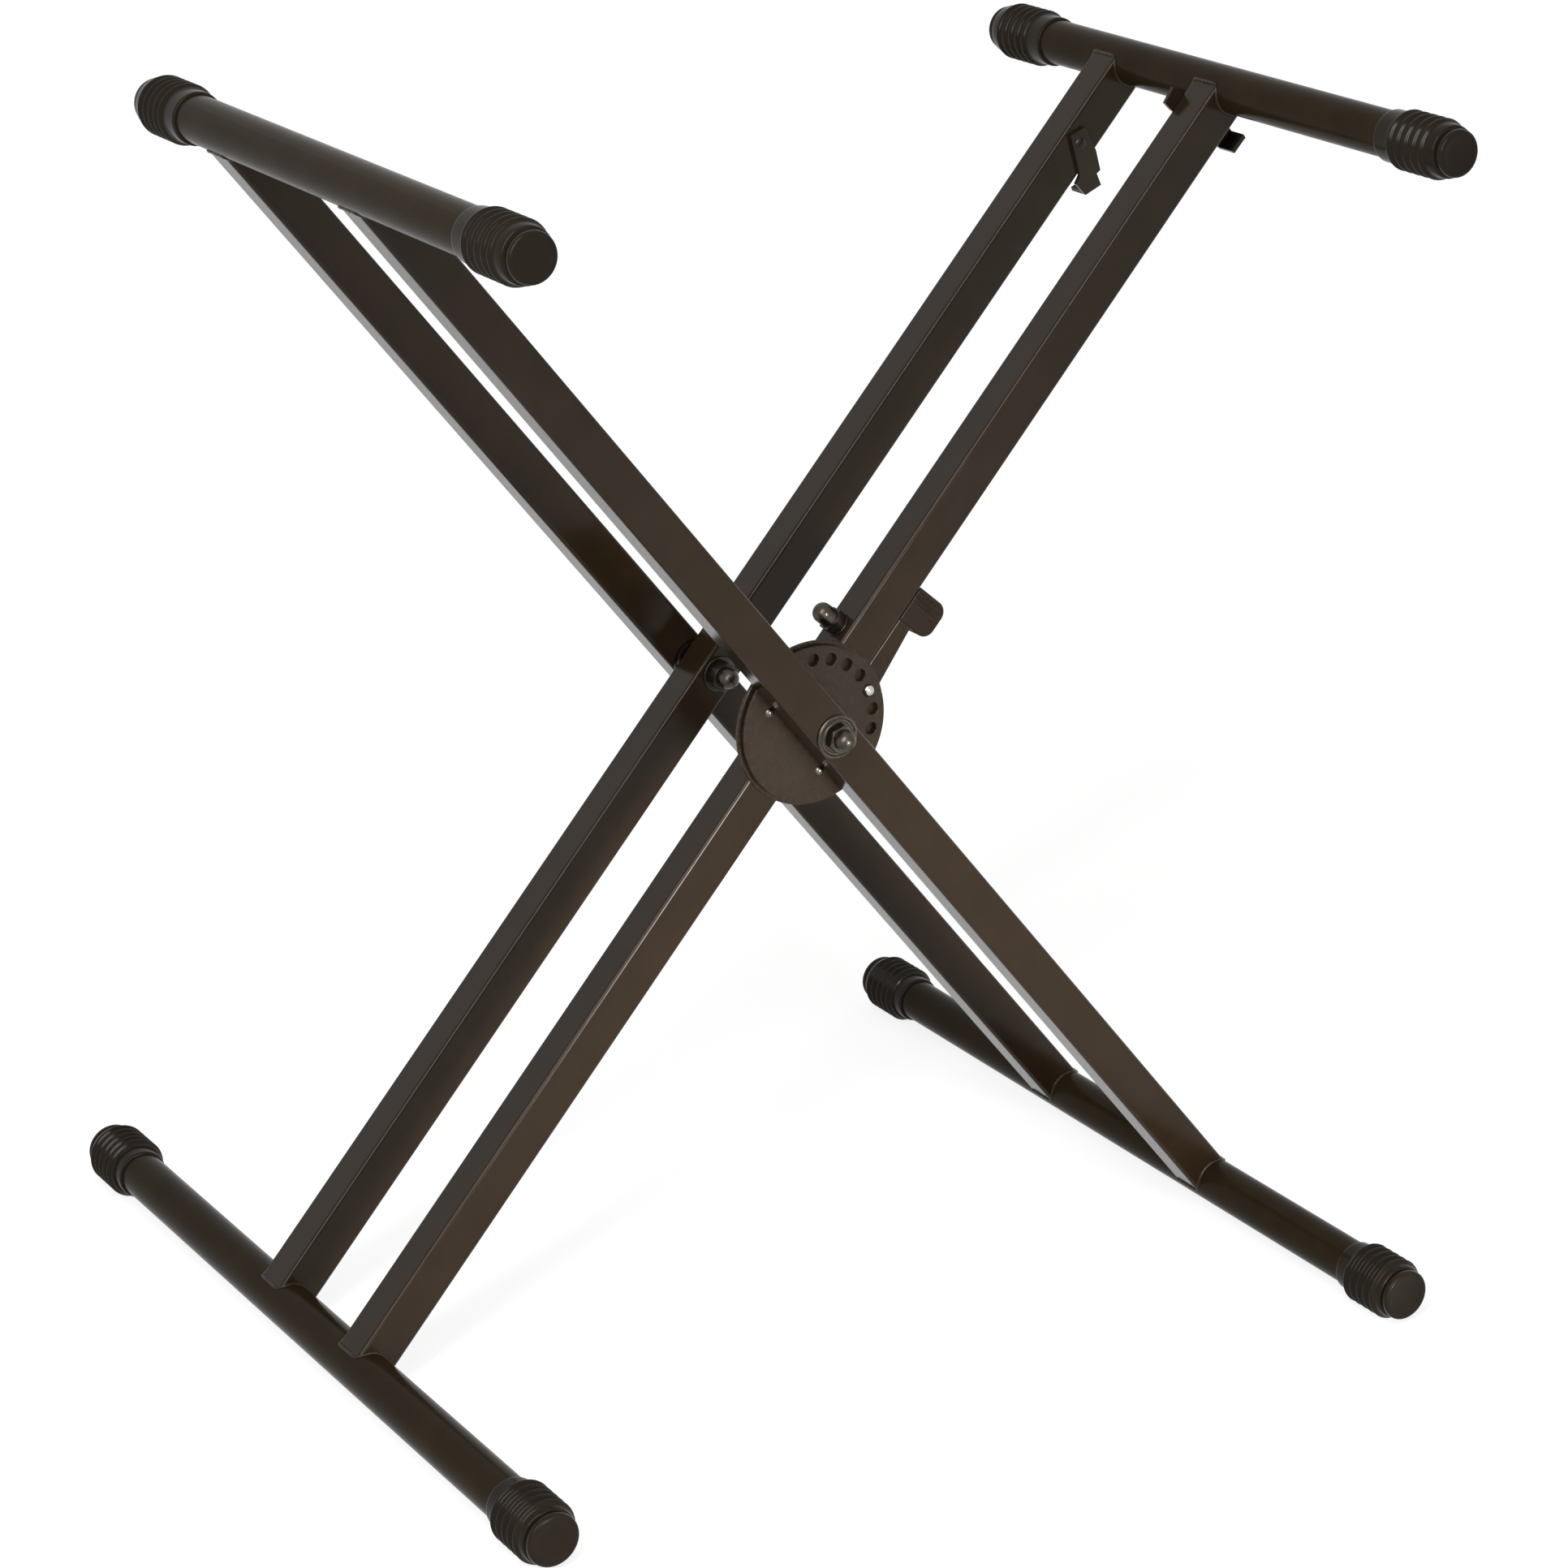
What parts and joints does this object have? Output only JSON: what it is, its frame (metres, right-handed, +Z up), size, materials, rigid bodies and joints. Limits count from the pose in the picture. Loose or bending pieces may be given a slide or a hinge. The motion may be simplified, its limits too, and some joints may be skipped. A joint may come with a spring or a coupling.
{
  "type": "folding keyboard stand",
  "caption": "Folding X-shaped keyboard stand: crossed twin steel legs on round crossbars with ribbed rubber end caps, a pivot disc with height holes, a lock pin and a squeeze trigger.",
  "frame": {"origin": "on the floor, at the middle of the stand's footprint, below the two pivots", "axes": "+X along the span, from the outer frame's keyboard bar to the inner frame's; +Y from the front, where the lock disc is, to the back; +Z up"},
  "size_m": [0.713, 0.684, 0.8419],
  "materials": {
    "frame_coat": "satin brown-black powder coat",
    "bar_coat": "satin brown-black powder coat",
    "disc_coat": "satin brown-black powder coat",
    "clip_coat": "satin brown-black powder coat",
    "rivet_steel": "dull steel",
    "black_hardware": "black oxide",
    "friction_washer": "matte nylon",
    "pin_steel": "bright zinc",
    "spring_steel": "oiled spring wire",
    "trigger_coat": "satin brown-black powder coat",
    "grip_plastic": "moulded, lightly textured",
    "cap_rubber": "moulded, satin"
  },
  "bodies": {
    "inner_frame": {"inner_leg_front": "frame_coat", "inner_leg_rear": "frame_coat", "inner_top_crossbar": "bar_coat", "inner_foot_crossbar": "bar_coat", "lock_disc_rear": "disc_coat", "leg_clip_rear": "clip_coat", "leg_clip_front": "clip_coat", "clip_rivets": "clip_coat", "front_pivot_bolt": "black_hardware", "front_pivot_washer": "black_hardware", "front_pivot_cap_nut": "black_hardware", "front_pivot_head_washer": "black_hardware", "rear_pivot_bolt": "black_hardware", "rear_pivot_washer": "black_hardware", "rear_pivot_cap_nut": "black_hardware", "rear_pivot_head_washer": "black_hardware", "rear_spacer_washers": "black_hardware", "trigger_pivot_bolt": "black_hardware", "trigger_pivot_washers": "black_hardware", "trigger_cap_nut": "black_hardware", "front_friction_washer": "friction_washer", "rear_friction_washer": "friction_washer", "inner_cap_top_front": "cap_rubber", "inner_cap_top_rear": "cap_rubber", "inner_cap_foot_front": "cap_rubber", "inner_cap_foot_rear": "cap_rubber"},
    "outer_frame": {"outer_leg_front": "frame_coat", "outer_leg_rear": "frame_coat", "outer_top_crossbar": "bar_coat", "outer_foot_crossbar": "bar_coat", "outer_cap_top_front": "cap_rubber", "outer_cap_top_rear": "cap_rubber", "outer_cap_foot_front": "cap_rubber", "outer_cap_foot_rear": "cap_rubber", "lock_disc_front": "disc_coat", "disc_rivets": "rivet_steel"},
    "trigger": {"trigger_lever": "trigger_coat", "trigger_grip": "grip_plastic", "trigger_return_spring": "spring_steel"},
    "lock_pin": {"lock_pin": "pin_steel", "pin_retaining_collar": "pin_steel"}
  },
  "joints": [
    {"name": "fold", "type": "hinge", "parent": "inner_frame", "child": "outer_frame", "pos_m": [0, 0, 0.4215], "axis": [0, 1, 0], "range_deg": [-34.9, 69.8]},
    {"name": "squeeze", "type": "hinge", "parent": "inner_frame", "child": "trigger", "pos_m": [0.06043, -0.074, 0.45635], "axis": [0.7672, 0, -0.6414], "range_deg": [0, 15.5], "stiffness_Nm_per_rad": 1.2, "springref_deg": -20.05},
    {"name": "pin_slide", "type": "slide", "parent": "inner_frame", "child": "lock_pin", "axis": [0, 1, 0], "range_m": [0, 0.0067]}
  ],
  "couplings": [
    {"joint": "pin_slide", "follows": "squeeze", "m_per_rad": 0.024162}
  ]
}
